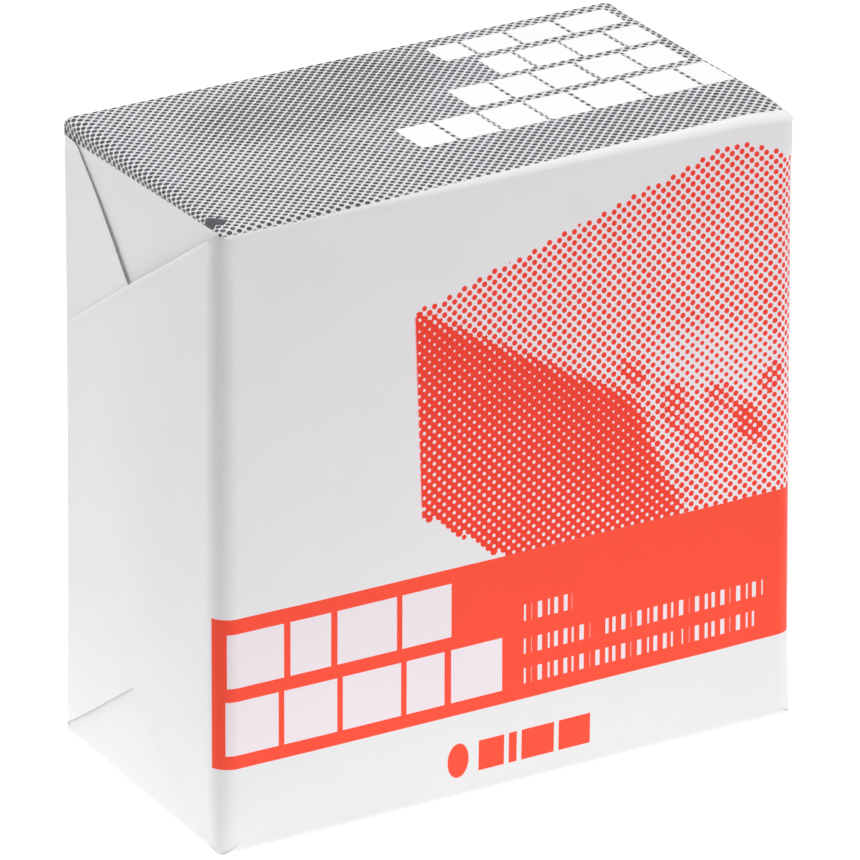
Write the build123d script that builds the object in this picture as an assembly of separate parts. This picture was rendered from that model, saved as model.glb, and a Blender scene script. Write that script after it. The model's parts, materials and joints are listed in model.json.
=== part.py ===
"""A pressed chalk block gift-wrapped in one sheet of printed paper, in millimetres.

The block stands on its narrow long side. +Z is up, X runs along the wide printed front,
the front faces -Y and the glued seam faces +Y. The origin is the middle of the resting face.
The sheet goes round the block as a sleeve about the X axis, and its two open ends are folded
flat: top and bottom tucks first, then the back flap, then the front flap, which is glued down.
Every crease parts the sheet into pieces, because each panel turns about its own crease.
"""

import os
from math import atan, cos, radians, sin, tan

from build123d import *

# Outside of the wrapped block
WIDTH = 66.0
DEPTH = 34.6
HEIGHT = 68.0

# Sheet, adhesive and the air between layers
PAPER = 0.12
CLEARANCE = 0.05
SEAM_GLUE = 0.05

# Rounding of the folded sheet and of the pressed block
LONG_EDGE_RADIUS = 1.0
UPRIGHT_EDGE_RADIUS = 2.0
TUCK_EDGE_RADIUS = 2.0
BLOCK_EDGE_RADIUS = 2.5

# Lengths of the folded ends' layers, from their creases
FRONT_FLAP_LENGTH = 32.6
BACK_FLAP_LENGTH = 18.0
TUCK_LENGTH = 18.0
GUSSET_START = 2.4

# Slanting folds of the side flaps: distance from the corner at the crease, and rise per unit
FRONT_FLAP_TOP_FOLD = (0.3, 0.65)
FRONT_FLAP_BOTTOM_FOLD = (0.3, 0.60)
BACK_FLAP_TOP_FOLD = (2.0, 0.79)
BACK_FLAP_BOTTOM_FOLD = (0.8, 0.65)

# A tuck's sides lean in, in degrees, so that the flaps over it stay clear while they all open
TUCK_FRONT_LEAN = 36.0
TUCK_BACK_LEAN = 43.0
TUCK_FRONT_GAP = 0.9
TUCK_BACK_GAP = 2.0
TUCK_FOLD_GAP = 0.1

# Glued seam down the back, and the dab that holds a front flap shut
LAP_HEIGHT = 12.0
LAP_CENTRE_Z = 24.0
SEAM_GLUE_HEIGHT = 7.0
DAB_WIDTH = 5.0
DAB_HEIGHT = 12.0
DAB_FROM_CREASE = 25.0

# The layers of a folded end, each given by how far its outer face is from the middle plane
FRONT_FLAP_FACE = WIDTH / 2
BACK_FLAP_FACE = FRONT_FLAP_FACE - 2 * PAPER - CLEARANCE
TUCK_FACE = BACK_FLAP_FACE - 2 * PAPER - CLEARANCE
BLOCK_HALF_WIDTH = TUCK_FACE - PAPER - CLEARANCE

# Faces of the block inside the sleeve, which is thicker down the back, where the sheet laps
BLOCK_FRONT = -DEPTH / 2 + PAPER + CLEARANCE
BLOCK_BACK = DEPTH / 2 - 2 * PAPER - SEAM_GLUE - CLEARANCE
BLOCK_HEIGHT = HEIGHT - 2 * (PAPER + CLEARANCE)

MIDDLE_PLANE = Plane.YZ
MID_HEIGHT_PLANE = Plane.XY.offset(HEIGHT / 2)


def chalk_block():
    """The pressed block, with its pressed-round edges."""
    block = Box(2 * BLOCK_HALF_WIDTH, BLOCK_BACK - BLOCK_FRONT, BLOCK_HEIGHT)
    block = fillet(block.edges(), BLOCK_EDGE_RADIUS)
    return Pos(0, (BLOCK_BACK + BLOCK_FRONT) / 2, HEIGHT / 2) * block


def quarter_tube(outer_radius, length):
    """A quarter of a paper tube about the Z axis, in the +X +Y quarter, from z = 0 up."""
    ring = Circle(outer_radius) - Circle(outer_radius - PAPER)
    quarter = Pos(outer_radius, outer_radius) * Rectangle(2 * outer_radius, 2 * outer_radius)
    return extrude(ring & quarter, length)


def sleeve_side(outline, half_length):
    """The part of the sleeve's wall inside an outline in the YZ plane, along X both ways."""
    outer = RectangleRounded(DEPTH, HEIGHT, LONG_EDGE_RADIUS)
    inner = RectangleRounded(DEPTH - 2 * PAPER, HEIGHT - 2 * PAPER, LONG_EDGE_RADIUS - PAPER)
    wall = Pos(0, HEIGHT / 2) * (outer - inner)
    return extrude(MIDDLE_PLANE * (wall & Polygon(*outline, align=None)), half_length, both=True)


def upright_panel(sign):
    """The front (sign -1) or back (sign 1) panel, rounded at both upright edges."""
    face = sign * DEPTH / 2
    inside = face - sign * LONG_EDGE_RADIUS
    outline = [
        (face, 0),
        (face, HEIGHT),
        (inside, HEIGHT - LONG_EDGE_RADIUS),
        (inside, LONG_EDGE_RADIUS),
    ]
    edge_face = FRONT_FLAP_FACE if sign < 0 else BACK_FLAP_FACE
    edge_x = edge_face - UPRIGHT_EDGE_RADIUS
    panel = sleeve_side(outline, edge_x)
    bend = quarter_tube(UPRIGHT_EDGE_RADIUS, HEIGHT - 2 * LONG_EDGE_RADIUS)
    bend = Rot(0, 0, -90 if sign < 0 else 0) * bend
    bend = Pos(edge_x, face - sign * UPRIGHT_EDGE_RADIUS, LONG_EDGE_RADIUS) * bend
    return panel + bend + mirror(bend, about=MIDDLE_PLANE)


def top_panel():
    """The top panel, rounded at both ends, where the tucks start."""
    inside = HEIGHT - LONG_EDGE_RADIUS
    outline = [
        (-DEPTH / 2, HEIGHT),
        (DEPTH / 2, HEIGHT),
        (DEPTH / 2 - LONG_EDGE_RADIUS, inside),
        (-DEPTH / 2 + LONG_EDGE_RADIUS, inside),
    ]
    edge_x = TUCK_FACE - TUCK_EDGE_RADIUS
    panel = sleeve_side(outline, edge_x)
    bend_half_length = DEPTH / 2 - LONG_EDGE_RADIUS
    bend = Rot(90, 0, 0) * quarter_tube(TUCK_EDGE_RADIUS, 2 * bend_half_length)
    bend = Pos(edge_x, bend_half_length, HEIGHT - TUCK_EDGE_RADIUS) * bend
    return panel + bend + mirror(bend, about=MIDDLE_PLANE)


def end_layer(outline, outer_face, thickness=PAPER):
    """A flat layer of the right end: an outline in Y and Z, its outer face at x = outer_face."""
    face = MIDDLE_PLANE.offset(outer_face - thickness) * outline
    return extrude(face, thickness, dir=(1, 0, 0))


def side_flap(sign, length, top_fold, bottom_fold, outer_face):
    """A side flap from the front (sign -1) or back (sign 1) edge, narrowed by its two folds."""

    def corner(distance, fold, from_top):
        gap, slope = fold
        drop = gap + slope * distance
        return (sign * (DEPTH / 2 - distance), HEIGHT - drop if from_top else drop)

    corners = [
        corner(UPRIGHT_EDGE_RADIUS, top_fold, True),
        corner(length, top_fold, True),
        corner(length, bottom_fold, False),
        corner(UPRIGHT_EDGE_RADIUS, bottom_fold, False),
    ]
    return end_layer(Polygon(*corners, align=None), outer_face)


def upper_gusset(sign, length, fold, outer_face):
    """The triangle of sheet turned back under a side flap along its upper fold.

    The fold carries the flap's unfolded top corner, which was level with the crease's top,
    to a point turned by twice the fold's angle.
    """
    gap, slope = fold
    fold_angle = atan(slope)
    start = GUSSET_START
    drops = [
        (start, slope * start),
        (length, slope * length),
        (length * cos(2 * fold_angle), length * sin(2 * fold_angle)),
    ]
    corners = [(sign * (DEPTH / 2 - distance), HEIGHT - gap - drop) for distance, drop in drops]
    return end_layer(Polygon(*corners, align=None), outer_face)


def lower_gusset(sign, length, fold, outer_face):
    """The same triangle along a side flap's lower fold."""
    return mirror(upper_gusset(sign, length, fold, outer_face), about=MID_HEIGHT_PLANE)


def tuck(back_fold):
    """The tuck folded down from the top panel, its sides leaning in towards its free edge.

    Its back side runs beside the back flap's fold until the lean has taken it further in.
    """
    front_lean = tan(radians(TUCK_FRONT_LEAN))
    back_lean = tan(radians(TUCK_BACK_LEAN))
    gap, slope = back_fold
    clear_gap = gap - TUCK_FOLD_GAP

    def back_side(drop):
        beside_fold = max(TUCK_BACK_GAP, (drop - clear_gap) / slope)
        return min(beside_fold, TUCK_BACK_GAP + back_lean * drop)

    leaves_edge = clear_gap + TUCK_BACK_GAP * slope
    leaves_fold = (clear_gap / slope + TUCK_BACK_GAP) / (1 / slope - back_lean)
    drops = [TUCK_LENGTH, leaves_fold, max(leaves_edge, TUCK_EDGE_RADIUS), TUCK_EDGE_RADIUS]
    corners = []
    for drop in (TUCK_EDGE_RADIUS, TUCK_LENGTH):
        corners.append((-DEPTH / 2 + TUCK_FRONT_GAP + front_lean * drop, HEIGHT - drop))
    for drop in dict.fromkeys(drops):
        corners.append((DEPTH / 2 - back_side(drop), HEIGHT - drop))
    return end_layer(Polygon(*corners, align=None), TUCK_FACE)


def flap_glue():
    """The dab on the front flap's inner face, which bears on the back flap's outer face."""
    outline = SlotOverall(DAB_HEIGHT, DAB_WIDTH, rotation=90)
    outline = Pos(-DEPTH / 2 + DAB_FROM_CREASE, HEIGHT / 2) * outline
    return end_layer(outline, FRONT_FLAP_FACE - PAPER, PAPER + CLEARANCE / 2)


def back_strip(outer_y, thickness, height):
    """A strip along the back seam, with its outer face at y = outer_y."""
    half_length = BACK_FLAP_FACE - UPRIGHT_EDGE_RADIUS
    strip = Box(2 * half_length, thickness, height)
    return Pos(0, outer_y - thickness / 2, LAP_CENTRE_Z) * strip


def right_end():
    """Every piece of the right end, by name."""
    front = (-1, FRONT_FLAP_LENGTH)
    back = (1, BACK_FLAP_LENGTH)
    front_inner = FRONT_FLAP_FACE - PAPER
    back_inner = BACK_FLAP_FACE - PAPER
    return {
        "front_flap": side_flap(
            *front, FRONT_FLAP_TOP_FOLD, FRONT_FLAP_BOTTOM_FOLD, FRONT_FLAP_FACE
        ),
        "front_flap_upper_gusset": upper_gusset(*front, FRONT_FLAP_TOP_FOLD, front_inner),
        "front_flap_lower_gusset": lower_gusset(*front, FRONT_FLAP_BOTTOM_FOLD, front_inner),
        "flap_glue": flap_glue(),
        "back_flap": side_flap(*back, BACK_FLAP_TOP_FOLD, BACK_FLAP_BOTTOM_FOLD, BACK_FLAP_FACE),
        "back_flap_upper_gusset": upper_gusset(*back, BACK_FLAP_TOP_FOLD, back_inner),
        "back_flap_lower_gusset": lower_gusset(*back, BACK_FLAP_BOTTOM_FOLD, back_inner),
        "top_tuck": tuck(BACK_FLAP_TOP_FOLD),
        "bottom_tuck": mirror(tuck(BACK_FLAP_BOTTOM_FOLD), about=MID_HEIGHT_PLANE),
    }


def all_pieces():
    """Every piece of the wrapped block, by name."""
    top = top_panel()
    seam_face = DEPTH / 2 - PAPER
    pieces = {
        "chalk_block": chalk_block(),
        "front_panel": upright_panel(-1),
        "back_panel": upright_panel(1),
        "top_panel": top,
        "bottom_panel": mirror(top, about=MID_HEIGHT_PLANE),
        "seam_glue": back_strip(seam_face, SEAM_GLUE, SEAM_GLUE_HEIGHT),
        "seam_lap": back_strip(seam_face - SEAM_GLUE, PAPER, LAP_HEIGHT),
    }
    for name, piece in right_end().items():
        pieces["right_" + name] = piece
        pieces["left_" + name] = mirror(piece, about=MIDDLE_PLANE)
    return pieces


os.makedirs("parts", exist_ok=True)
for node, shape in all_pieces().items():
    export_step(shape, f"parts/{node}.step")
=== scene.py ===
"""The looks of a pressed chalk block wrapped in one sheet of printed paper.

Lengths are in millimetres until a mesh is made, and angles are in degrees. The sheet is cut where
its flat panels and its folded ends meet: each panel rides on the wrapper, and each flap or tuck
bends from the wrapper to its own body. Prints are painted in the sheet's own coordinates, in
millimetres, so that they stay on the paper when a flap turns.
"""

import json
from math import pi, radians

import bmesh
import bpy
import numpy as np
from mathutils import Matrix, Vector, noise

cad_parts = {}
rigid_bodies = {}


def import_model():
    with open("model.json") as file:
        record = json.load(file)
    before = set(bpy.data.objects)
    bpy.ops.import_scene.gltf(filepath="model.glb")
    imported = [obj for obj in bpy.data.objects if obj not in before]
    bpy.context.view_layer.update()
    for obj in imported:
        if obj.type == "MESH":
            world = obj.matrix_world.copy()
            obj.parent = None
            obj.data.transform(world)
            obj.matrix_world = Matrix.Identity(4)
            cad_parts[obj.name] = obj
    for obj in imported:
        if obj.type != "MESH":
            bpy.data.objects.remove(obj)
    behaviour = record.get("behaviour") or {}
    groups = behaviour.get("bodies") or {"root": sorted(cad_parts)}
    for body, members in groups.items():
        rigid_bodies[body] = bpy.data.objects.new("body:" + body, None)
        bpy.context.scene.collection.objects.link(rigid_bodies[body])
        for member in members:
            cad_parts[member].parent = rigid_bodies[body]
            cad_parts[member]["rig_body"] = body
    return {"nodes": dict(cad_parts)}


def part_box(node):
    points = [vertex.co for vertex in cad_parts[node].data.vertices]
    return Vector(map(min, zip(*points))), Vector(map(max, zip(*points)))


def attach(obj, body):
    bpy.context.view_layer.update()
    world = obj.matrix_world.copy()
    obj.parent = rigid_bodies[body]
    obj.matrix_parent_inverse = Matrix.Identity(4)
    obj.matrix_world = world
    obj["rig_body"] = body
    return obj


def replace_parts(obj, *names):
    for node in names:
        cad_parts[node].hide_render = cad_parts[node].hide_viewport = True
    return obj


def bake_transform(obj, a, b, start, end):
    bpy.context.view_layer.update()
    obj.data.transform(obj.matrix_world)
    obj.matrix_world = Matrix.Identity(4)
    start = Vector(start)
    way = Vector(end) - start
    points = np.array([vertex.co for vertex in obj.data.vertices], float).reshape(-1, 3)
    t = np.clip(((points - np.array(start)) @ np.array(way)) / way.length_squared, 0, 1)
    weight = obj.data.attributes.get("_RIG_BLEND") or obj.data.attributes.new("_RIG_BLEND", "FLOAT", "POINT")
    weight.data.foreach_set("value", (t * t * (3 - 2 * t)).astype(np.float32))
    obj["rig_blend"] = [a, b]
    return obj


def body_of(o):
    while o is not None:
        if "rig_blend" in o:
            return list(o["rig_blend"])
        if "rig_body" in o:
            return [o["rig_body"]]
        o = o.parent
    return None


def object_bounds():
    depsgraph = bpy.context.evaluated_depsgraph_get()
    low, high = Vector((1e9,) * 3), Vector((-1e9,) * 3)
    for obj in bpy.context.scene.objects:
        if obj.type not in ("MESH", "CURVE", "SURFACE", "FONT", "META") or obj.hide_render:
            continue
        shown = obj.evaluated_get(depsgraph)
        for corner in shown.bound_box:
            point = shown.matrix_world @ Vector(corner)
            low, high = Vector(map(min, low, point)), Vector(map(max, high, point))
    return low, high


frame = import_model()
cad_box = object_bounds()

MM = 0.001
UV_NAME = "sheet_mm"

# The wrapped block, from the frame
WIDTH = (cad_box[1].x - cad_box[0].x) / MM
DEPTH = (cad_box[1].y - cad_box[0].y) / MM
HEIGHT = (cad_box[1].z - cad_box[0].z) / MM
FRONT_Y = cad_box[0].y / MM
BACK_Y = cad_box[1].y / MM
PAPER = (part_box("right_front_flap")[1].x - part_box("right_front_flap")[0].x) / MM
FLAP_FACE = {side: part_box(f"right_{side}_flap")[1].x / MM for side in ("front", "back")}
TUCK_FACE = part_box("right_top_tuck")[1].x / MM
SEAM_LAP = [corner.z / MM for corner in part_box("seam_lap")]

# Bends of the sheet, and where it is cut into pieces
LONG_RADIUS = 1.0
UPRIGHT_RADIUS = {"front": 2.35, "back": 1.1}
CORNER_RADIUS = {"front": 1.6, "back": 0.9}
PANEL_CUT = 2.5
LID_CUT = 7.5
STRIP = 1.7
STRIP_OVERLAP = 0.4
FOLD_ROLL = 0.09

# Folded ends: lengths from the crease, and slanting folds as depth where they start at the corner,
# and the depth at the corner and rise of their straight line
FLAP_LENGTH = {"front": 32.6, "back": 18.0}
TUCK_LENGTH = 18.0
FOLDS = {
    ("front", "top"): (0.45, 0.3, 0.65),
    ("front", "bottom"): (0.45, 0.0, 0.675),
    ("back", "top"): (1.9, -0.9, 0.875),
    ("back", "bottom"): (0.8, 0.75, 0.685),
}


# ---------------------------------------------------------------- shape helpers


def smooth(value):
    """0 below 0, 1 above 1, and an even S between."""
    t = np.clip(value, 0.0, 1.0)
    return t * t * (3 - 2 * t)


def mix(a, b, share):
    """a where share is 0, b where it is 1."""
    return a + (b - a) * share


def bump(value, centre, reach):
    """A soft hump of height 1 round centre."""
    return np.exp(-(((value - centre) / reach) ** 2))


def ripple(a, b, wave, seed):
    """Soft unevenness of hand-folded paper, from about -1 to 1, with no repeat in sight."""
    total = np.sin(a / wave * 2.1 + 1.7 * np.sin(b / wave * 0.9 + seed) + seed)
    total = total + np.sin(b / wave * 1.7 + 1.4 * np.sin(a / wave * 1.1 + 2 * seed) + 3 * seed)
    total = total + 0.6 * np.sin((a + b) / wave * 3.1 + 1.1 * np.sin(b / wave * 2.3 - seed))
    return total / 2.6


def steps(*stops):
    """Grid lines through (position, cell size) stops: cells between two stops have the first's size."""
    lines = []
    for (start, cell), (end, _) in zip(stops, stops[1:]):
        count = max(1, round((end - start) / cell))
        lines.extend(np.linspace(start, end, count, endpoint=False))
    return np.array(lines + [stops[-1][0]])


def grid_normals(points):
    """Unit normals of a grid of points, from its neighbours' differences."""
    along = np.gradient(points, axis=0)
    across = np.gradient(points, axis=1)
    normals = np.cross(along, across)
    length = np.linalg.norm(normals, axis=2, keepdims=True)
    return normals / np.maximum(length, 1e-12)


def out_of_square(points):
    """Moves points as the real block is a little out of square, in mm at its corners."""
    x, y, z = points.T
    up = np.clip(z / HEIGHT, 0, 1)
    back = np.clip((y - FRONT_Y) / DEPTH, 0, 1)
    right = np.clip(x / WIDTH + 0.5, 0, 1)
    front_widening = mix(0.75, 0.35, up) + mix(0.55, 0.3, up) * right
    back_widening = mix(0.1, -0.7, up) - 0.2 * 4 * up * (1 - up)
    widening = mix(front_widening, back_widening, back)
    sag = 0.45 * up * (1 - back) * right
    droop = smooth((x - WIDTH / 2 + 6) / 6) * smooth(1 - (y - FRONT_Y) / 6) * smooth(1 - (HEIGHT - z) / 10)
    sag = sag + 0.5 * droop
    return np.stack([x * (1 + widening / (WIDTH / 2)), y, z - sag], axis=1)


def paper_piece(name, points, normals, uv, outside, inside, body=None):
    """A closed piece of paper from a grid of outer points: outer face, inner face and rim."""
    rows, columns = points.shape[:2]
    outer = out_of_square(points.reshape(-1, 3))
    inner = outer - PAPER * normals.reshape(-1, 3)
    count = len(outer)
    ids = np.arange(count).reshape(rows, columns)
    quads = np.stack([ids[:-1, :-1], ids[1:, :-1], ids[1:, 1:], ids[:-1, 1:]], axis=-1)
    middle = quads[rows // 2, columns // 2]
    a, b, c = (outer[middle[k]] for k in (0, 1, 2))
    if np.dot(np.cross(b - a, c - a), normals[rows // 2, columns // 2]) < 0:
        quads = quads[..., ::-1]
    quads = quads.reshape(-1, 4)
    rim = np.concatenate([ids[0, :], ids[1:, -1], ids[-1, -2::-1], ids[-2:0:-1, 0]])
    faces = [tuple(q) for q in quads.tolist()]
    faces += [tuple(v + count for v in reversed(q)) for q in quads.tolist()]
    for first, second in zip(rim, np.roll(rim, -1)):
        faces.append((int(first), int(second), int(second) + count, int(first) + count))
    mesh = bpy.data.meshes.new(name)
    mesh.from_pydata((np.concatenate([outer, inner]) * MM).tolist(), [], faces)
    mesh.materials.append(outside)
    mesh.materials.append(inside)
    material_index = np.ones(len(faces), np.int32)
    material_index[: len(quads)] = 0
    mesh.polygons.foreach_set("material_index", material_index)
    layer = mesh.uv_layers.new(name=UV_NAME)
    flat_uv = np.tile(uv.reshape(-1, 2), (2, 1))
    loop_vertex = np.zeros(len(mesh.loops), np.int32)
    mesh.loops.foreach_get("vertex_index", loop_vertex)
    layer.data.foreach_set("uv", flat_uv[loop_vertex].astype(np.float32).ravel())
    tidy_mesh(mesh, 50)
    piece = bpy.data.objects.new(name, mesh)
    bpy.context.scene.collection.objects.link(piece)
    if body:
        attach(piece, body)
    return piece


def tidy_mesh(mesh, sharp_angle):
    """Merges doubled points, makes the faces agree and shades them smooth between sharp edges."""
    work = bmesh.new()
    work.from_mesh(mesh)
    bmesh.ops.remove_doubles(work, verts=work.verts, dist=0.002 * MM)
    bmesh.ops.dissolve_degenerate(work, dist=0.001 * MM, edges=work.edges)
    bmesh.ops.recalc_face_normals(work, faces=work.faces)
    work.to_mesh(mesh)
    work.free()
    mesh.shade_smooth()
    mesh.set_sharp_from_angle(angle=radians(sharp_angle))


# ---------------------------------------------------------------- unevenness of the faces


def face_swell(x, z):
    """How far the front or back paper stands proud of flat, in mm, none at its edges."""
    inset = np.minimum(WIDTH / 2 - np.abs(x) - PANEL_CUT, np.minimum(z, HEIGHT - z) - STRIP)
    return smooth(inset / 9.0)


def front_relief(x, z):
    """The front face's gentle swell and ripples."""
    return face_swell(x, z) * (0.16 + 0.05 * ripple(x, z, 17.0, 0.8) + 0.012 * ripple(x, z, 5.0, 2.0))


def back_relief(x, z):
    """The back face's gentle swell and ripples."""
    return face_swell(x, z) * (0.12 + 0.08 * ripple(x, z, 14.0, 4.1) + 0.015 * ripple(x, z, 4.5, 1.0))


def lid_relief(x, across, seed):
    """The top or bottom face's ripples, none at its edges."""
    inset = np.minimum(WIDTH / 2 - np.abs(x) - LID_CUT, np.minimum(across, DEPTH - across) - 1.5)
    return smooth(inset / 6.0) * (0.05 + 0.05 * ripple(x, across, 12.0, seed))


END_SEED = {"left": 2.2, "right": 5.2}


def end_relief(across, z, seed):
    """An end's pillow over the block, with ripples, shared by its layers so that they nest."""
    inset_across = np.minimum(across, DEPTH - across) - UPRIGHT_RADIUS["front"]
    inset_up = np.minimum(z, HEIGHT - z) - UPRIGHT_RADIUS["front"]
    pillow = smooth(inset_across / 14.0) * smooth(inset_up / 16.0)
    waves = smooth(np.minimum(inset_across, inset_up) / 5.0)
    fine = 0.05 * ripple(across, z, 7.5, seed) + 0.02 * ripple(across, z, 3.4, seed + 1.3)
    return 0.42 * pillow + waves * fine


# ---------------------------------------------------------------- flat panels


def front_panel(prints):
    """The printed front between its two flaps' bends."""
    x_lines = steps((-WIDTH / 2 + PANEL_CUT, 1.2), (WIDTH / 2 - PANEL_CUT, 1.2))
    z_lines = steps((STRIP, 1.2), (HEIGHT - STRIP, 1.2))
    x, z = np.meshgrid(x_lines, z_lines, indexing="ij")
    points = np.stack([x, FRONT_Y - front_relief(x, z), z], axis=-1)
    normals = np.zeros_like(points)
    normals[..., 1] = -1
    uv = np.stack([x + WIDTH / 2, z], axis=-1)
    piece = paper_piece("front_paper", points, normals, uv, prints["front"], prints["inside"], "wrapper")
    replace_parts(piece, "front_panel")


def back_panels(prints):
    """The back in two sheets: the upper one laps over the lower one and is glued to it."""
    half = FLAP_FACE["back"] - PANEL_CUT
    x_lines = steps((-half, 1.2), (half, 1.2))
    step = PAPER + 0.05

    def one(name, z_lines, sunk, node):
        x, z = np.meshgrid(x_lines, z_lines, indexing="ij")
        y = BACK_Y + back_relief(x, z) - sunk(x, z)
        points = np.stack([x, y, z], axis=-1)
        normals = np.zeros_like(points)
        normals[..., 1] = 1
        uv = np.stack([WIDTH / 2 - x, z], axis=-1)
        plain, inside = prints["plain"], prints["inside"]
        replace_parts(paper_piece(name, points, normals, uv, plain, inside, "wrapper"), node)

    def under(x, z):
        ends = smooth((half - np.abs(x)) / 1.5)
        return step * ends * smooth((z - SEAM_LAP[0] + 1.2) / 1.1)

    def lifted(x, z):
        """The glued edge isn't quite flat: it lifts a little between the ends."""
        near_edge = 1 - smooth((z - SEAM_LAP[0]) / 2.0)
        return -0.05 * near_edge * (0.6 + 0.4 * ripple(x, z, 9.0, 5.0)) * smooth((half - np.abs(x)) / 8)

    upper_lines = steps((SEAM_LAP[0], 0.4), (SEAM_LAP[0] + 2.4, 1.2), (HEIGHT - STRIP, 1.2))
    lower_lines = steps((STRIP, 1.2), (SEAM_LAP[0] - 2.0, 0.3), (SEAM_LAP[0] + 0.4, 1.2), (SEAM_LAP[1], 1))
    one("back_paper_upper", upper_lines, lifted, "back_panel")
    one("back_paper_lower", lower_lines, under, "seam_lap")


# ---------------------------------------------------------------- top and bottom with their tucks


class Lid:
    """The top or bottom of the sleeve at one end: how the sheet bends there, in mm.

    e is the distance in from the end, w the distance across from the front, and h the depth
    below the top (or above the bottom). q runs along the sheet from the corner of the end, in the
    tuck above 0, and s runs across it, from the front edge's corner at 0 to the back's at DEPTH.
    """

    def __init__(self, level, front_bend, back_bend):
        self.level = level
        self.front_bend = front_bend
        self.back_bend = back_bend

    def bend(self, s):
        """The bend's reach along the lid and down the end, at each s. It is tight at both corners."""
        share = np.clip(s / DEPTH, 0, 1) ** 0.8
        corner = np.maximum(1 - smooth((s + 1.0) / 3.0), smooth((s - (DEPTH - 4.0)) / 5.0))
        reaches = [mix(self.front_bend[k], self.back_bend[k], share) for k in (0, 1)]
        return [mix(reaches[k], CORNER_BEND[k], corner) for k in (0, 1)]

    def end_and_drop(self, q, reaches):
        """Distance in from the end and drop, along a bend of those two reaches."""
        a, b = reaches
        turn = np.clip((q + a) / (a + b), 0, 1) * pi / 2
        return np.where(q < -a, -q, a - a * np.sin(turn)), np.where(q > b, q, b - b * np.cos(turn))

    def place(self, q, s):
        """(e, w, h) of the sheet at q and s."""
        e, drop = self.end_and_drop(q, self.bend(s))
        inset = np.minimum(self.end_and_drop(q, CORNER_BEND)[1], CORNER_BEND[1])
        squeeze = 4.0
        w = np.where(s < squeeze, inset + s * (squeeze - inset) / squeeze, s)
        from_back = DEPTH - s
        near_back = DEPTH - inset - from_back * (squeeze - inset) / squeeze
        w = np.where(from_back < squeeze, near_back, w)
        h = drop
        for edge in (s, DEPTH - s):
            turn = np.clip((edge + LONG_RADIUS) / (2 * LONG_RADIUS), 0, 1) * pi / 2
            rolled = edge < LONG_RADIUS
            reach = LONG_RADIUS - inset * LONG_RADIUS / squeeze
            rolled_w = inset + reach * (1 - np.cos(turn))
            rolled_h = drop + (LONG_RADIUS - drop) * (1 - np.sin(turn))
            strip_h = np.where(edge < -LONG_RADIUS, -edge, rolled_h)
            h = np.where(rolled, strip_h, h)
            across = rolled_w if edge is s else DEPTH - rolled_w
            w = np.where(rolled, across, w)
        return e, w, h

    def side_limit(self, q, side):
        """How far the sheet reaches past a long edge's corner, less than 0 when it stays inside.

        Its side slants over the upright edge as a small ear, and then leans in under the flap.
        """
        ear = mix(STRIP, ear_reach(side, self.level), np.clip((q + 1.9) / 2.1, 0, 1))
        under = -0.25 - 0.6 * np.maximum(q - 3.0, 0)
        return mix(ear, under, np.clip((q - 0.5) / 0.3, 0, 1))

    def limits(self, q):
        """Where the sheet's front and back sides are at each q."""
        return -self.side_limit(q, "front"), DEPTH + self.side_limit(q, "back")


def ear_reach(side, level):
    """How far an ear hangs down past its corner: enough to cover the start of the flap's fold."""
    return 0.1 if side == "front" else FOLDS[side, level][0] + 0.25


CORNER_BEND = (0.8, 0.3)
LIDS = {
    ("left", "top"): Lid("top", (0.8, 0.4), (2.2, 0.9)),
    ("right", "top"): Lid("top", (0.9, 0.4), (1.5, 0.7)),
    ("left", "bottom"): Lid("bottom", (0.5, 0.4), (0.6, 0.4)),
    ("right", "bottom"): Lid("bottom", (0.5, 0.4), (0.6, 0.4)),
}


def lid_panel(level, prints):
    """The top or bottom between its tucks, with both long edges and a strip of each face."""
    half = TUCK_FACE - LID_CUT
    x_lines = steps((-half, 1.2), (half, 1.2))
    s_lines = lid_rows()
    x, s = np.meshgrid(x_lines, s_lines, indexing="ij")
    _, w, h = LIDS["left", level].place(np.full_like(s, -20.0), s)
    seed = 1.5 if level == "top" else 3.7
    h = h - np.where((s > 1) & (s < DEPTH - 1), lid_relief(x, s, seed), 0)
    z = HEIGHT - h if level == "top" else h
    points = np.stack([x, FRONT_Y + w, z], axis=-1)
    normals = outward(grid_normals(points), points)
    uv = np.stack([x + WIDTH / 2, s], axis=-1)
    outside = prints["top"] if level == "top" else prints["plain"]
    piece = paper_piece(f"{level}_paper", points, normals, uv, outside, prints["inside"], "wrapper")
    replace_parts(piece, f"{level}_panel")


def lid_rows():
    """Grid lines across a lid, fine over the two long edges."""
    return steps(
        (-STRIP, 0.35), (-1.0, 0.2), (1.0, 0.5), (4.0, 1.1),
        (DEPTH - 4.0, 0.5), (DEPTH - 1.0, 0.2), (DEPTH + 1.0, 0.35), (DEPTH + STRIP, 1),
    )


def outward(normals, points):
    """The same normals, all pointing away from the block's middle."""
    centre = np.array([0, (FRONT_Y + BACK_Y) / 2, HEIGHT / 2])
    scale = np.array([WIDTH, DEPTH, HEIGHT])
    facing = ((points - centre) / scale * normals).sum(axis=2, keepdims=True)
    return np.where(facing < 0, -normals, normals)


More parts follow.
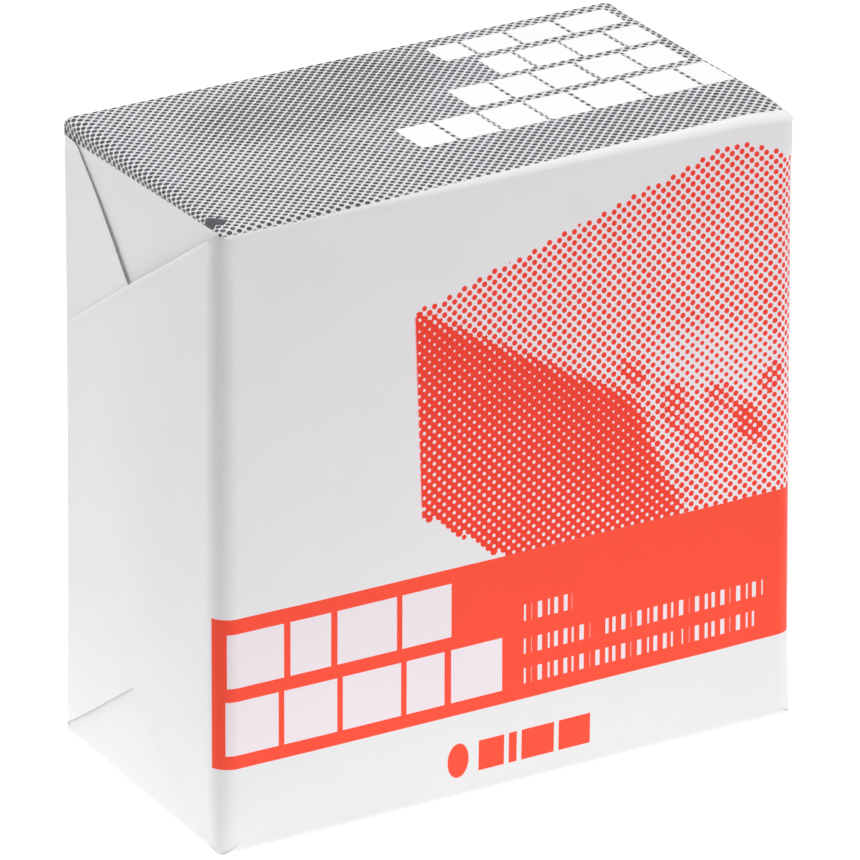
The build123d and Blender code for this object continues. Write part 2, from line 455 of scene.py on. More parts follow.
def tuck_piece(end, level, prints):
    """A tuck with its bend and the corners beside it."""
    lid = LIDS[end, level]
    sign = -1 if end == "left" else 1
    q_lines = steps((-LID_CUT, 0.5), (-3.0, 0.2), (2.6, 0.6), (TUCK_LENGTH, 1))
    cut_rows = lid_rows()
    share = (cut_rows - cut_rows[0]) / (cut_rows[-1] - cut_rows[0])
    q, f = np.meshgrid(q_lines, share, indexing="ij")
    s = mix(*lid.limits(q), f)
    e, w, h = lid.place(q, s)
    z = HEIGHT - h if level == "top" else h
    down = smooth((q - 2.0) / 2.0)
    stand_out = down * (end_relief(w, z, END_SEED[end]) - 0.02 + tuck_curl(end, level, w, h))
    x = sign * (TUCK_FACE - e + stand_out)
    points = np.stack([x, FRONT_Y + w, z], axis=-1)
    normals = outward(grid_normals(points), points)
    normals[q > 4.0] = (sign, 0, 0)
    uv_x = WIDTH / 2 - TUCK_FACE - q
    uv = np.stack([uv_x if end == "left" else WIDTH - uv_x, s], axis=-1)
    outside = prints["top"] if level == "top" else prints["plain"]
    piece = paper_piece(f"{end}_{level}_tuck_paper", points, normals, uv, outside, prints["inside"])
    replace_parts(piece, f"{end}_{level}_tuck")
    z_face = HEIGHT if level == "top" else 0.0
    start = Vector((sign * (TUCK_FACE - 2.0), 0, z_face)) * MM
    finish = Vector((sign * TUCK_FACE, 0, z_face)) * MM
    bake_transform(piece, "wrapper", f"{end}_{level}_tuck", start=start, end=finish)


def tuck_curl(end, level, w, h):
    """How the tuck bows under the flaps: it sinks beside the back flap's fold."""
    if level == "bottom":
        return 0.0
    _, gap, rise = FOLDS["back", level]
    fold_w = DEPTH - (h - gap) / rise
    sink = bump(w, fold_w + 1.0, 3.0) * smooth((h - 3) / 6)
    depth = 0.05 if end == "left" else 0.04
    return -depth * sink


# ---------------------------------------------------------------- side flaps


def wall_bend(q, r):
    """Turn of the sheet, distance in from the end and across it, on an upright edge of radius r."""
    turn = np.clip((q + r) / (2 * r), 0, 1) * pi / 2
    inward = np.where(q < -r, -q, r - r * np.sin(turn))
    return turn, inward, np.where(q > r, q, r - r * np.cos(turn))


def upright_radius(side, z):
    """The radius of an upright edge at height z: it tightens towards both corners."""
    return mix(CORNER_RADIUS[side], UPRIGHT_RADIUS[side], smooth(np.minimum(z, HEIGHT - z) / 7.0))


def fold_drop(q, side, level):
    """How far a flap's slanting edge is from the top or bottom, from its panel to its free edge."""
    start, gap, rise = FOLDS[side, level]
    bend_q = (-PANEL_CUT, -2.3, -1.5, 0.0)
    bend = np.interp(q, bend_q, (STRIP, STRIP - 0.15, (STRIP + start) * 0.4, start))
    return np.where(q > 0, np.maximum(gap + rise * q, start), bend)


def fold_direction(side, level):
    """(across, up) direction in the end's plane, square to a slanting fold and away from its flap."""
    rise = FOLDS[side, level][2]
    length = np.hypot(1, rise)
    return rise / length, (1 if level == "top" else -1) / length


def gusset_height(q, side, level):
    """How far the turned-back triangle reaches from the fold, along it."""
    rise = FOLDS[side, level][2]
    angle = np.arctan(rise)
    along = q / np.cos(angle)
    height = np.minimum(along * np.tan(angle), (FLAP_LENGTH[side] - q) / np.sin(angle))
    return np.clip(height - 0.4, 0, None) * smooth((q - 3.0) / 2.0)


def flap_lift(end, side, w, z):
    """How far one layer stands off the shared pillow, in mm."""
    _, gap, rise = FOLDS["back", "top"]
    tip_w, tip_drop = DEPTH * 0.59, HEIGHT * 0.195
    fold_w = DEPTH - (HEIGHT - z - gap) / rise
    tip = bump(w, tip_w, 7.0) * bump(HEIGHT - z, tip_drop, 8.0)
    lift = 0.08 * tip
    if side == "back":
        near_fold = bump(w, fold_w, 2.5) * smooth((HEIGHT - z - gap) / 10.0)
        lift = lift + 0.03 * near_fold
    else:
        lift = lift + 0.06
    return lift if end == "left" else 0.7 * lift


def flap_piece(end, side, prints):
    """A side flap with its bend, its two rolled folds and the triangles turned back under it."""
    sign = -1 if end == "left" else 1
    length = FLAP_LENGTH[side]
    q_lines = steps((-PANEL_CUT, 0.25), (2.6, 0.9), (length, 1))
    flap_share = steps((0, 0.003), (0.03, 0.018), (0.97, 0.003), (1, 1))
    roll = np.linspace(0, 1, 7)[1:]
    turned = np.array([0.15, 0.5, 1.0])
    extra = np.concatenate([roll, 1 + turned])
    rows = [(-1, value) for value in extra[::-1]] + [(0, f) for f in flap_share]
    rows += [(1, value) for value in extra]
    mirror = 1 if side == "front" else -1
    edge_y = FRONT_Y if side == "front" else BACK_Y
    face = FLAP_FACE[side]

    def surface(q, z):
        """Points and normals of the flap's own surface at q and z."""
        turn, e, across = wall_bend(q, upright_radius(side, z))
        w = across if side == "front" else DEPTH - across
        on_end = smooth((q - 1.5) / 2.5)
        proud = on_end * (end_relief(w, z, END_SEED[end]) + flap_lift(end, side, w, z))
        for level, drop in (("top", HEIGHT - z), ("bottom", z)):
            from_fold = (drop - fold_drop(q, side, level)) / np.hypot(1, FOLDS[side, level][2])
            proud = proud + 0.05 * bump(from_fold, 0.35, 0.4) * smooth((q - 0.8) / 2.0)
        proud = proud - tucked_under(q, z, side)
        normal = np.stack([sign * np.sin(turn), -mirror * np.cos(turn), np.zeros_like(q)], axis=-1)
        x = sign * (face - e)
        points = np.stack([x, edge_y + mirror * across, z], axis=-1) + normal * proud[..., None]
        return points, normal

    q = q_lines
    top_z = HEIGHT - fold_drop(q, side, "top")
    bottom_z = fold_drop(q, side, "bottom")
    all_points, all_normals, all_uv = [], [], []
    for part, value in rows:
        if part == 0:
            z = mix(bottom_z, top_z, value)
            points, normals = surface(q, z)
            v = z
        else:
            level = "top" if part > 0 else "bottom"
            z = top_z if part > 0 else bottom_z
            points, normals = surface(q, z)
            out_across, out_up = fold_direction(side, level)
            out = np.array([0, mirror * out_across, out_up])
            radius = FOLD_ROLL * smooth((q - 0.8) / 2.0)
            turn = min(value, 1.0) * pi * smooth((q - 0.5) / 0.8)
            reach = radius * np.sin(turn)
            if value > 1:
                reach = -(value - 1) * gusset_height(q, side, level)
                flat_z = z + out_up * reach
                flat_q = q + out_across * reach
                points, normals = surface(flat_q, flat_z)
                reach = reach * 0
            depth = radius * (1 - np.cos(turn))
            points = points + out * reach[..., None] - normals * depth[..., None]
            normals = normals * np.cos(turn)[..., None] + out * np.sin(turn)[..., None]
            v = z + part * value
        all_points.append(points)
        all_normals.append(normals)
        from_end = WIDTH / 2 - face - q
        u = from_end if end == "left" else WIDTH - from_end
        all_uv.append(np.stack([u, v], axis=-1))
    points, normals, uv = (np.stack(part, axis=1) for part in (all_points, all_normals, all_uv))
    outside = prints["front"] if side == "front" else prints["plain"]
    name = f"{end}_{side}_flap"
    piece = paper_piece(f"{name}_paper", points, normals, uv, outside, prints["inside"])
    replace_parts(piece, name, f"{name}_upper_gusset", f"{name}_lower_gusset")
    reach = UPRIGHT_RADIUS["front"]
    start = Vector((sign * (face - reach), edge_y, HEIGHT / 2)) * MM
    finish = Vector((sign * face, edge_y + mirror * reach, HEIGHT / 2)) * MM
    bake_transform(piece, "wrapper", name, start=start, end=finish)


def tucked_under(q, z, side):
    """Near the corners a flap's bend slips under the ear of the top or bottom."""
    in_bend = smooth((q + PANEL_CUT) / 1.5) * (1 - smooth((q - 1.0) / 2.0))
    covered = 0
    for level, drop in (("top", HEIGHT - z), ("bottom", z)):
        reach = max(STRIP, ear_reach(side, level))
        covered = np.maximum(covered, smooth((reach + 1.7 - drop) / 1.7))
    return 0.13 * in_bend * covered


# ---------------------------------------------------------------- the block and the glue


def chalk_block(material):
    """The pressed block: rounded edges, a fine crumbly skin and a few chipped edges."""
    low, high = (np.array(corner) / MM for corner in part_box("chalk_block"))
    centre, half = (low + high) / 2, (high - low) / 2 - 0.06
    radius = 2.5
    cell = 0.8
    points, faces = [], []
    for axis in range(3):
        u_axis, v_axis = (axis + 1) % 3, (axis + 2) % 3
        u_count, v_count = (int(2 * half[k] / cell) for k in (u_axis, v_axis))
        for sign in (-1, 1):
            u, v = np.meshgrid(np.linspace(-1, 1, u_count + 1), np.linspace(-1, 1, v_count + 1), indexing="ij")
            face = np.zeros(u.shape + (3,))
            face[..., axis] = sign * half[axis]
            face[..., u_axis] = u * half[u_axis]
            face[..., v_axis] = v * half[v_axis]
            ids = len(points) + np.arange(u.size).reshape(u.shape)
            quad = np.stack([ids[:-1, :-1], ids[1:, :-1], ids[1:, 1:], ids[:-1, 1:]], axis=-1)
            faces.extend((quad if sign > 0 else quad[..., ::-1]).reshape(-1, 4).tolist())
            points.extend(face.reshape(-1, 3).tolist())
    points = np.array(points)
    core = np.clip(points, -(half - radius), half - radius)
    away = points - core
    length = np.linalg.norm(away, axis=1, keepdims=True)
    direction = away / np.maximum(length, 1e-9)
    rough = np.array([noise.fractal(Vector(p) / 3.0, 1.0, 2.0, 4) for p in points.tolist()])
    chips = np.array([noise.noise(Vector(p) / 4.0 + Vector((7, 3, 1))) for p in points.tolist()])
    on_edge = (np.abs(direction) > 0.25).sum(axis=1) > 1
    sink = 0.05 + 0.05 * rough + on_edge * 0.5 * np.clip(chips - 0.25, 0, 1)
    points = out_of_square(core + direction * (radius - np.clip(sink, 0, 1))[:, None] + centre)
    mesh = bpy.data.meshes.new("pressed_chalk_block")
    mesh.from_pydata((points * MM).tolist(), [], faces)
    mesh.materials.append(material)
    tidy_mesh(mesh, 60)
    piece = bpy.data.objects.new("pressed_chalk_block", mesh)
    bpy.context.scene.collection.objects.link(piece)
    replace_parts(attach(piece, "wrapper"), "chalk_block")


def glue_piece(node, material, thin, swell):
    """A squeezed dab of glue: a thin cushion with a wavy outline, inside its node's box."""
    low, high = (np.array(corner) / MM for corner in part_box(node))
    centre, half = (low + high) / 2, (high - low) / 2
    wide = 1 - thin
    rings = np.array([0, 0.4, 0.7, 0.86, 0.95, 1.0])
    r, t = np.meshgrid(rings, np.linspace(0, 2 * pi, 64, endpoint=False), indexing="ij")
    outline = (np.abs(np.cos(t)) ** 3 + np.abs(np.sin(t)) ** 3) ** (-1 / 3)
    outline = outline * (0.92 + 0.04 * np.sin(3 * t + 1) + 0.03 * np.sin(7 * t))
    points = np.zeros((2,) + r.shape + (3,))
    points[..., wide] = centre[wide] + half[wide] * r * outline * np.cos(t)
    points[..., 2] = centre[2] + half[2] * r * outline * np.sin(t)
    thickness = 0.8 * half[thin] * np.sqrt(1 - r**4)
    shift = np.sign(centre[thin]) * swell(points[0, ..., wide], points[0, ..., 2])
    points[..., thin] = centre[thin] + shift + np.stack([thickness, -thickness])
    ids = np.arange(points.size // 3).reshape(points.shape[:3])
    here, after = ids, np.roll(ids, -1, axis=2)
    quads = np.stack([here[:, :-1], here[:, 1:], after[:, 1:], after[:, :-1]], axis=-1)
    name = f"{node}_dab"
    mesh = bpy.data.meshes.new(name)
    mesh.from_pydata((out_of_square(points.reshape(-1, 3)) * MM).tolist(), [], quads.reshape(-1, 4).tolist())
    mesh.materials.append(material)
    tidy_mesh(mesh, 60)
    piece = bpy.data.objects.new(name, mesh)
    bpy.context.scene.collection.objects.link(piece)
    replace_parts(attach(piece, body_of(frame["nodes"][node])[0]), node)


def glue_pieces(material):
    """The seam's strip of glue, and the dab that holds each front flap on the back flap."""
    glue_piece("seam_glue", material, 1, back_relief)
    for end in ("left", "right"):

        def flap_swell(y, z):
            w = y - FRONT_Y
            return end_relief(w, z, END_SEED[end]) + flap_lift(end, "front", w, z)

        glue_piece(f"{end}_flap_glue", material, 0, flap_swell)


# ---------------------------------------------------------------- materials


class Field:
    """A number that varies over a surface. Arithmetic on fields adds math nodes to a material."""

    def __init__(self, tree, socket):
        self.tree = tree
        self.socket = socket

    def math(self, operation, *others, clamp=False):
        node = self.tree.nodes.new("ShaderNodeMath")
        node.operation = operation
        node.use_clamp = clamp
        for slot, value in zip(node.inputs, (self,) + others):
            if isinstance(value, Field):
                self.tree.links.new(value.socket, slot)
            else:
                slot.default_value = value
        return Field(self.tree, node.outputs[0])

    def __add__(self, other):
        return self.math("ADD", other)

    def __radd__(self, other):
        return self.math("ADD", other)

    def __sub__(self, other):
        return self.math("SUBTRACT", other)

    def __rsub__(self, other):
        return (self * -1.0) + other

    def __mul__(self, other):
        return self.math("MULTIPLY", other)

    def __rmul__(self, other):
        return self.math("MULTIPLY", other)

    def at_most(self, other):
        return self.math("MINIMUM", other)

    def at_least(self, other):
        return self.math("MAXIMUM", other)

    def ramp(self, low, high):
        """0 below low and 1 above high. low may be the larger: then it falls."""
        return ((self - low) * (1.0 / (high - low))).math("ADD", 0.0, clamp=True)

    def inside(self, low, high, soft):
        """1 between low and high, with soft edges that wide."""
        return self.ramp(low - soft / 2, low + soft / 2) * self.ramp(high + soft / 2, high - soft / 2)


def new_material(name):
    """A node material with a Principled shader, and its sheet coordinates in mm as two fields."""
    material = bpy.data.materials.new(name)
    material.use_nodes = True
    tree = material.node_tree
    where = tree.nodes.new("ShaderNodeUVMap")
    where.uv_map = UV_NAME
    split = tree.nodes.new("ShaderNodeSeparateXYZ")
    tree.links.new(where.outputs[0], split.inputs[0])
    return material, tree, Field(tree, split.outputs[0]), Field(tree, split.outputs[1])


def vector(tree, x, y, z=0.0):
    """Three fields or numbers as one vector socket."""
    node = tree.nodes.new("ShaderNodeCombineXYZ")
    for slot, value in zip(node.inputs, (x, y, z)):
        if isinstance(value, Field):
            tree.links.new(value.socket, slot)
        else:
            slot.default_value = value
    return node.outputs[0]


def clouds(tree, place, scale, detail=2.0, roughness=0.5):
    """Noise from about 0 to 1 at a place, scale features to the unit."""
    node = tree.nodes.new("ShaderNodeTexNoise")
    node.inputs["Scale"].default_value = scale
    node.inputs["Detail"].default_value = detail
    node.inputs["Roughness"].default_value = roughness
    tree.links.new(place, node.inputs["Vector"])
    return Field(tree, node.outputs[0])


def blend_colour(tree, share, first, second):
    """The first colour where share is 0, the second where it is 1."""
    node = tree.nodes.new("ShaderNodeMix")
    node.data_type = "RGBA"
    tree.links.new(share.socket, node.inputs["Factor"])
    for slot, colour in ((node.inputs["A"], first), (node.inputs["B"], second)):
        if isinstance(colour, tuple):
            slot.default_value = colour + (1.0,)
        else:
            tree.links.new(colour, slot)
    return node.outputs["Result"]


WHITE = (0.82, 0.82, 0.83)
INSIDE_WHITE = (0.78, 0.78, 0.78)
RED = (1.0, 0.062, 0.018)
DEEP_RED = (0.90, 0.026, 0.004)
GREY = (0.10, 0.10, 0.11)
BLACK = (0.03, 0.03, 0.033)


def paper_finish(tree, u, v, colour, ink, coated=True):
    """Joins a colour to the shader, with the paper's fibre, faint cockle and the ink's gloss."""
    shader = tree.nodes["Principled BSDF"]
    place = vector(tree, u, v)
    fibre = clouds(tree, place, 3.2, 3.0, 0.65)
    cockle = clouds(tree, place, 0.16, 2.0)
    if coated:
        roughness = 0.40 + 0.12 * fibre
        height = 0.012 * fibre + 0.16 * cockle
    else:
        roughness = 0.72 + 0.15 * fibre
        height = 0.05 * fibre + 0.16 * cockle
    if ink is not None:
        roughness = roughness - 0.06 * ink
    shade = (0.05 * clouds(tree, place, 0.09, 1.0)) + 0.025 * fibre
    tone = blend_colour(tree, shade, colour, (0.0, 0.0, 0.0))
    tree.links.new(tone, shader.inputs["Base Color"])
    tree.links.new(roughness.socket, shader.inputs["Roughness"])
    shader.inputs["Specular IOR Level"].default_value = 0.2
    shader.inputs["Coat Weight"].default_value = 0.04 if coated else 0.0
    shader.inputs["Coat Roughness"].default_value = 0.3
    relief = tree.nodes.new("ShaderNodeBump")
    relief.inputs["Strength"].default_value = 0.35
    relief.inputs["Distance"].default_value = 1.0 * MM
    tree.links.new(height.socket, relief.inputs["Height"])
    tree.links.new(relief.outputs[0], shader.inputs["Normal"])


def halftone(tree, u, v, pitch, soft, tone_at):
    """A screen of that pitch along u and v, turned 45 degrees: round dots in light tones, holes in dark.

    Each dot's size comes from the tone at its centre.
    """
    half = 0.5**0.5
    a = u * (half / pitch[0]) + v * (half / pitch[1])
    b = v * (half / pitch[1]) - u * (half / pitch[0])
    cell_a, cell_b = a.math("FLOOR") + 0.5, b.math("FLOOR") + 0.5
    dot_u = (cell_a - cell_b) * (half * pitch[0])
    dot_v = (cell_a + cell_b) * (half * pitch[1])
    from_a, from_b = (a - cell_a).math("ABSOLUTE"), (b - cell_b).math("ABSOLUTE")
    dots = 1.0 - (from_a * from_a + from_b * from_b) * pi
    to_a, to_b = 0.5 - from_a, 0.5 - from_b
    holes = (to_a * to_a + to_b * to_b) * pi
    tone = tone_at(dot_u, dot_v)
    level = dots + (holes - dots) * tone.ramp(0.60, 0.61)
    return ((level + tone) - 1.0).ramp(-soft, soft)


def half_plane(u, v, first, second):
    """Distance inside the line from first to second, on its right-hand side as seen with v up."""
    (u0, v0), (u1, v1) = first, second
    length = ((u1 - u0) ** 2 + (v1 - v0) ** 2) ** 0.5
    along, up = (u1 - u0) / length, (v1 - v0) / length
    return (u - u0) * up - (v - v0) * along


def smooth_least(first, second, reach):
    """The smaller of two fields, rounded where they meet."""
    return first.math("SMOOTH_MIN", second, reach)


def streak(u, v, centre, size, angle):
    """A soft slanting patch, 1 in its middle and 0 outside, of that half length and half width."""
    turn = radians(angle)
    along = (u - centre[0]) * np.cos(turn) + (v - centre[1]) * np.sin(turn)
    across = (v - centre[1]) * np.cos(turn) - (u - centre[0]) * np.sin(turn)
    far = (along * (1 / size[0])).math("POWER", 2.0) + (across * (1 / size[1])).math("POWER", 2.0)
    return far.ramp(1.2, 0.5)


def word_blocks(tree, u, v, start, widths, gap, low, high):
    """A row of solid blocks: a plain stand-in for a word, from start along u, between two v."""
    node = tree.nodes.new("ShaderNodeValToRGB")
    node.color_ramp.interpolation = "CONSTANT"
    total = sum(widths) + gap * (len(widths) - 1)
    stops = [(0.0, 0.0)]
    position = start
    for width in widths:
        stops.append(((position - start + 0.5) / (total + 1), 1.0))
        position += width
        stops.append(((position - start + 0.5) / (total + 1), 0.0))
        position += gap
    ramp = node.color_ramp
    while len(ramp.elements) < len(stops):
        ramp.elements.new(1.0)
    for element, (at, value) in zip(ramp.elements, stops):
        element.position = at
        element.color = (value, value, value, 1)
    tree.links.new(((u - (start - 0.5)) * (1 / (total + 1))).socket, node.inputs[0])
    return Field(tree, node.outputs[0]) * v.inside(low, high, 0.08)


def fine_strokes(u, v, start, end, low, high):
    """A line of thin upright strokes: a plain stand-in for small lettering."""
    stroke = (u * (2 * pi / 0.95)).math("SINE") + 0.7 * (u * (2 * pi / 1.63)).math("SINE")
    return stroke.ramp(0.25, 0.45) * u.inside(start, end, 0.05) * v.inside(low, high, 0.08)


BAND = (9.8, 26.25)
BAND_SIDES = (-1.35, 65.75)


def pictured_block(u, v):
    """Distance in from the outline of the block pictured on the front."""
    corners = ((22.45, 33.2), (21.65, 54.9), (58.9, 66.1), (67.0, 62.6))
    inset = half_plane(u, v, (32.6, 25.8), corners[0])
    for first, second, reach in zip(corners, corners[1:], (1.6, 1.2, 1.2)):
        inset = smooth_least(inset, half_plane(u, v, first, second), reach)
    return inset


def front_tone(tree, u, v):
    """The tone of the pictured block: its dark side face, lighter top and a few dark streaks."""
    place = vector(tree, u, v)
    rough = clouds(tree, place, 0.22, 3.0, 0.55) - 0.5
    fine = clouds(tree, place, 0.6, 2.0) - 0.5
    below_ridge = half_plane(u, v, (22.0, 55.3), (46.5, 41.0))
    left_of_side = half_plane(u, v, (46.0, 43.0), (53.6, 24.0))
    dark = smooth_least(below_ridge, left_of_side + 3.0 * rough, 1.0)
    dark = (dark + 0.6 * fine).ramp(-0.6, 0.8)
    for centre, size, angle in (
        ((46.7, 43.3), (2.2, 1.2), -58),
        ((51.7, 38.2), (3.2, 1.6), -76),
        ((53.9, 34.0), (3.4, 1.5), -54),
        ((57.4, 38.2), (2.6, 1.6), -34),
        ((60.1, 34.8), (3.4, 1.5), -62),
        ((62.7, 38.9), (2.2, 1.3), 55),
    ):
        patch = streak(u, v, centre, size, angle) * (0.55 + 1.6 * rough + 1.2 * fine)
        dark = dark.at_least(patch)
    glow = streak(u, v, (57.5, 42.0), (9.5, 4.2), -22)
    light = (0.425 - 0.12 * glow) + 0.10 * rough
    side = (0.94 - 0.11 * below_ridge.ramp(1.0, 13.0)) + 0.12 * rough
    tone = light + dark * (side - light)
    inside = pictured_block(u, v).ramp(-0.05, 0.05)
    return tone * inside + (inside - 1.0) * 0.2


def front_print():
    """The front's print: red band, halftone picture of a block, and plain stand-ins for words."""
    material, tree, u, v = new_material("front_print")
    dots = halftone(tree, u, v, (0.798, 0.832), 0.05, lambda a, b: front_tone(tree, a, b))
    dots = dots * v.ramp(BAND[1] - 0.1, BAND[1]) * u.ramp(65.95, 65.85)
    dots = dots * half_plane(u, v, (22.85, 33.2), (22.05, 54.9)).ramp(-0.1, 0.1)
    band = v.inside(BAND[0], BAND[1], 0.08) * u.inside(BAND_SIDES[0], BAND_SIDES[1], 0.1)
    line_1 = word_blocks(tree, u, v, 0.8, (6.6, 4.6, 6.7, 5.5), 0.65, 18.7, 24.6)
    line_2 = word_blocks(tree, u, v, 0.6, (6.1, 5.9, 6.6, 4.3, 5.8), 0.65, 11.3, 17.2)
    strokes = fine_strokes(u, v, 34.5, 40.0, 18.5, 20.3)
    for start, end, low in ((34.5, 42.2, 14.8), (43.2, 62.0, 14.8), (34.5, 51.6, 11.5), (52.6, 61.0, 11.5)):
        strokes = strokes.at_least(fine_strokes(u, v, start, end, low, low + 1.7))
    knocked_out = line_1.at_least(line_2).at_least(strokes)
    mark = word_blocks(tree, u, v, 29.4, (2.9, 0.9, 3.7, 3.6), 0.55, 2.9, 6.3)
    pebble = ((u - 27.1).math("POWER", 2.0) + ((v - 4.6) * 0.62).math("POWER", 2.0)).math("SQRT")
    mark = mark.at_least(pebble.ramp(1.24, 1.16))
    ink = dots.at_least(band * (1.0 - knocked_out)).at_least(mark)
    wear = clouds(tree, vector(tree, u, v), 1.3, 4.0, 0.7)
    red = blend_colour(tree, dots * 0.85 + 0.10 * wear, RED, DEEP_RED)
    tint = pictured_block(u, v).ramp(-0.6, 0.4) * v.ramp(BAND[0], BAND[1]) * u.ramp(67.0, 65.8) * 0.75
    tint = tint.at_least(band * 0.9)
    white = blend_colour(tree, tint, WHITE, (0.88, 0.79, 0.84))
    colour = blend_colour(tree, ink * (0.998 - 0.03 * wear), white, red)
    paper_finish(tree, u, v, colour, ink)
    return material


def top_print():
    """The top's print: dark halftone texture over the whole face, with plain white blocks."""
    material, tree, u, v = new_material("top_print")
    tilt = radians(-1.2)
    across = u * np.cos(tilt) - (v - DEPTH) * np.sin(tilt)
    back = (DEPTH - v) * np.cos(tilt) - u * np.sin(tilt) * 1.0

    def tone_at(dot_u, dot_v):
        place = vector(tree, dot_u, dot_v)
        rough = clouds(tree, place, 0.11, 4.0, 0.6)
        patch = streak(dot_u, dot_v, (26.0, 26.0), (17.0, 7.5), 12)
        lean = streak(dot_u, dot_v, (50.0, 4.5), (20.0, 5.0), 0)
        # end: denser dots over the bend at the left end, partly the print wrapping round and partly painted shade
        # where the bend turns away from the light
        end = dot_u.ramp(2.4, 0.2) * 0.14
        corner = streak(dot_u, dot_v, (1.1, 2.8), (1.5, 1.1), 15) * 0.7
        return (0.335 + 0.20 * rough) + 0.12 * patch + 0.03 * lean + end + corner

    dots = halftone(tree, u, v, (0.776, 0.744), 0.10, tone_at)
    rows = ((27.5, (4.2, 4.6, 5.0, 4.9, 6.1, 5.6, 3.6), 20.6, 26.0),)
    rows += ((37.5, (4.6, 4.4, 4.9, 5.2, 4.6), 14.4, 19.4), (44.6, (4.0, 5.1, 4.9, 3.9), 8.8, 13.4))
    rows += ((41.6, (3.7, 5.0, 5.6, 6.2), 3.6, 7.6),)
    blocks = None
    for start, widths, low, high in rows:
        row = word_blocks(tree, across, back, start, widths, 0.45, low, high)
        blocks = row if blocks is None else blocks.at_least(row)
    inner_end = 0.55 - (v * (1.8 / DEPTH) + 0.35)
    printed = (u - inner_end).ramp(0.0, 0.15) * u.ramp(WIDTH + 0.2, WIDTH - 0.2)
    printed = printed * (v - (u - 10.0).at_least(0.0) * (1.9 / 56)).ramp(-0.5, -0.3)
    printed = printed * (v - (u - WIDTH) * 1.7).ramp(3.5, 3.7)
    ink = dots * printed * (1.0 - blocks)
    wear = clouds(tree, vector(tree, u, v), 0.5, 3.0, 0.6)
    dark = blend_colour(tree, wear.ramp(0.35, 0.75), GREY, BLACK)
    haze = blend_colour(tree, printed * (1.0 - blocks), (0.90, 0.90, 0.91), (0.70, 0.70, 0.72))
    white = blend_colour(tree, printed, WHITE, haze)
    colour = blend_colour(tree, ink * 0.97, white, dark)
    paper_finish(tree, u, v, colour, ink)
    return material


def plain_paper(name, white, coated):
    """White paper with no print."""
    material, tree, u, v = new_material(name)
    colour = blend_colour(tree, clouds(tree, vector(tree, u, v), 0.05, 2.0) * 0.3, white, (0.80, 0.80, 0.80))
    paper_finish(tree, u, v, colour, None, coated)
    return material


def chalk():
    """Pressed magnesium carbonate: bright, dead matt, with fine grain and shallow pits."""
    material = bpy.data.materials.new("pressed_chalk")
    material.use_nodes = True
    tree = material.node_tree
    shader = tree.nodes["Principled BSDF"]
    place = tree.nodes.new("ShaderNodeTexCoord").outputs["Object"]
    grain = clouds(tree, place, 2600.0, 6.0, 0.7)
    pits = clouds(tree, place, 420.0, 4.0, 0.6)
    colour = blend_colour(tree, pits.ramp(0.35, 0.7), (0.86, 0.86, 0.85), (0.76, 0.76, 0.755))
    colour = blend_colour(tree, grain.ramp(0.62, 0.80) * 0.35, colour, (0.62, 0.62, 0.62))
    tree.links.new(colour, shader.inputs["Base Color"])
    shader.inputs["Roughness"].default_value = 0.95
    shader.inputs["Specular IOR Level"].default_value = 0.15
    height = grain * 0.35 + pits.ramp(0.3, 0.7) * 0.65
    relief = tree.nodes.new("ShaderNodeBump")
    relief.inputs["Strength"].default_value = 0.8
    relief.inputs["Distance"].default_value = 0.35 * MM
    tree.links.new(height.socket, relief.inputs["Height"])
    tree.links.new(relief.outputs[0], shader.inputs["Normal"])
    return material


def adhesive():
    """Dried clear-white glue with a slight sheen."""
    material = bpy.data.materials.new("adhesive")
    material.use_nodes = True
    tree = material.node_tree
    shader = tree.nodes["Principled BSDF"]
    place = tree.nodes.new("ShaderNodeTexCoord").outputs["Object"]
    lumps = clouds(tree, place, 900.0, 3.0)
    tree.links.new(blend_colour(tree, lumps, (0.78, 0.76, 0.70), (0.66, 0.64, 0.56)), shader.inputs["Base Color"])
    tree.links.new((0.25 + 0.25 * lumps).socket, shader.inputs["Roughness"])
    relief = tree.nodes.new("ShaderNodeBump")
    relief.inputs["Strength"].default_value = 0.5
    relief.inputs["Distance"].default_value = 0.2 * MM
    tree.links.new(lumps.socket, relief.inputs["Height"])
    tree.links.new(relief.outputs[0], shader.inputs["Normal"])
    return material


# ---------------------------------------------------------------- studio


def floor():
    """A wide pale floor, seen as white, that lights the object from below, less from front left."""
    bpy.ops.mesh.primitive_plane_add(size=6, location=(0, 0, -0.0002))
    plane = bpy.context.object
    plane.name = "studio_floor"
    material = bpy.data.materials.new("studio_floor")
    material.use_nodes = True
    tree = material.node_tree
    shader = tree.nodes["Principled BSDF"]
    shader.inputs["Base Color"].default_value = (0.4, 0.4, 0.4, 1)
    shader.inputs["Roughness"].default_value = 0.9
    shader.inputs["Specular IOR Level"].default_value = 0.1
    shader.inputs["Emission Color"].default_value = (1, 1, 1, 1)
    place = tree.nodes.new("ShaderNodeNewGeometry").outputs["Position"]
    away = tree.nodes.new("ShaderNodeVectorMath")
    away.operation = "LENGTH"
    tree.links.new(place, away.inputs[0])
    distance = Field(tree, away.outputs["Value"])
    split = tree.nodes.new("ShaderNodeSeparateXYZ")
    tree.links.new(place, split.inputs[0])
    front_left = (Field(tree, split.outputs[0]) + Field(tree, split.outputs[1])) * -(0.5**0.5)
    shaded = front_left.math("DIVIDE", distance).ramp(0.3, 1.0) * distance.ramp(0.05, 0.13) * 0.4
    glow = 0.66 * distance.ramp(0.55, 0.25) + 0.42 * distance.ramp(0.11, 0.03)
    glow = glow * (1.0 - shaded)
    seen = Field(tree, tree.nodes.new("ShaderNodeLightPath").outputs["Is Camera Ray"])
    strength = glow + seen * (1.0 - glow)
    tree.links.new(strength.socket, shader.inputs["Emission Strength"])
    plane.data.materials.append(material)


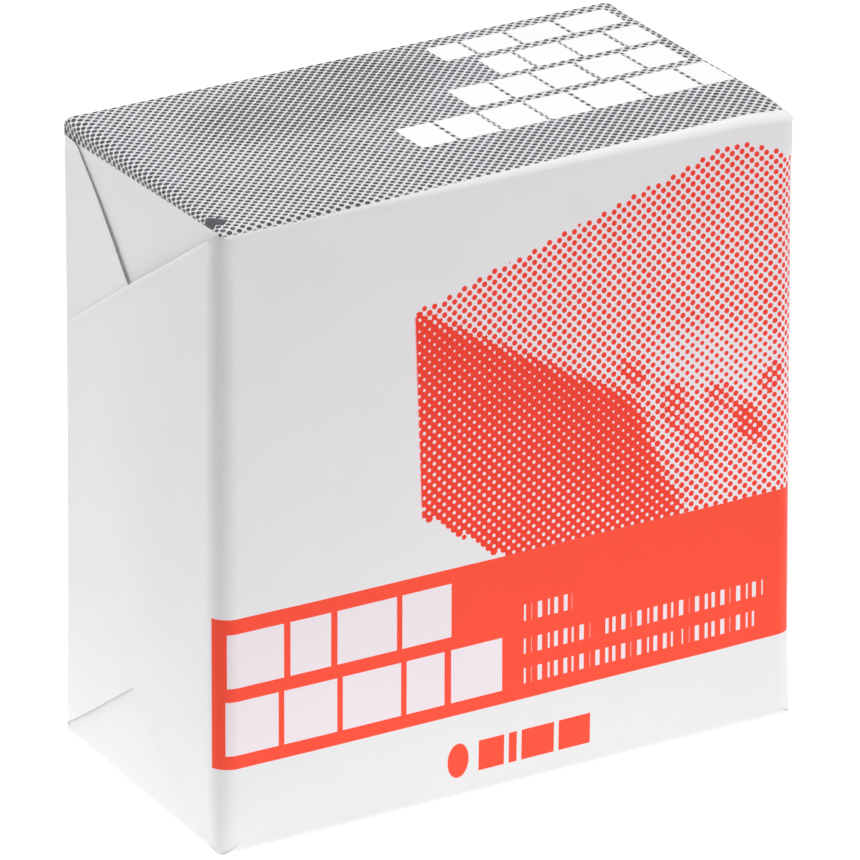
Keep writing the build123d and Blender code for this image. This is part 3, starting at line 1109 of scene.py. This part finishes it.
def soft_light(name, direction, distance, size, power):
    """A square soft light that shines at the object from a direction, unseen by the camera."""
    data = bpy.data.lights.new(name, "AREA")
    data.size = size
    data.energy = power
    light = bpy.data.objects.new(name, data)
    bpy.context.scene.collection.objects.link(light)
    towards = Vector(direction).normalized()
    light.location = Vector((0, 0, HEIGHT / 2 * MM)) + towards * distance
    light.rotation_mode = "QUATERNION"
    light.rotation_quaternion = towards.to_track_quat("Z", "Y")
    light.visible_camera = False


def studio():
    """Soft lights from far left and far right leave the upright edge between them darker."""
    scene = bpy.context.scene
    scene.view_settings.view_transform = "Standard"
    world = bpy.data.worlds.new("studio")
    world.use_nodes = True
    world.node_tree.nodes["Background"].inputs[0].default_value = (1, 1, 1, 1)
    world.node_tree.nodes["Background"].inputs[1].default_value = 0.15
    scene.world = world
    soft_light("left_light", (-1.0, 0.9, 0.35), 1.2, 0.6, 4.6)
    soft_light("right_light", (0.7, -1.0, 0.45), 1.2, 0.6, 5.8)
    soft_light("top_light", (-0.12, 0.08, 1.0), 1.2, 0.7, 13.2)


def camera():
    """A long lens at the height of a shelf, level, a little left of the front."""
    azimuth, elevation, distance = radians(-30.06), radians(23.95), 1.0
    aim = Vector((0.0, (FRONT_Y + BACK_Y) / 2 * MM, HEIGHT / 2 * MM))
    back = Vector(
        (
            np.sin(azimuth) * np.cos(elevation),
            -np.cos(azimuth) * np.cos(elevation),
            np.sin(elevation),
        )
    )
    data = bpy.data.cameras.new("camera")
    data.sensor_width = 36.0
    data.lens = 412.5
    data.clip_start = 0.05
    data.clip_end = 20.0
    view = bpy.data.objects.new("camera", data)
    bpy.context.scene.collection.objects.link(view)
    view.rotation_mode = "QUATERNION"
    view.rotation_quaternion = back.to_track_quat("Z", "Y")
    right = view.rotation_quaternion @ Vector((1, 0, 0))
    up = view.rotation_quaternion @ Vector((0, 1, 0))
    view.location = aim + back * distance + right * 0.6 * MM - up * 0.8 * MM
    bpy.context.scene.camera = view


# ---------------------------------------------------------------- the whole scene

prints = {
    "front": front_print(),
    "top": top_print(),
    "plain": plain_paper("plain_paper", WHITE, True),
    "inside": plain_paper("paper_inside", INSIDE_WHITE, False),
}
front_panel(prints)
back_panels(prints)
for level in ("top", "bottom"):
    lid_panel(level, prints)
    for end in ("left", "right"):
        tuck_piece(end, level, prints)
for end in ("left", "right"):
    for side in ("front", "back"):
        flap_piece(end, side, prints)
chalk_block(chalk())
glue_pieces(adhesive())

floor()
studio()
camera()
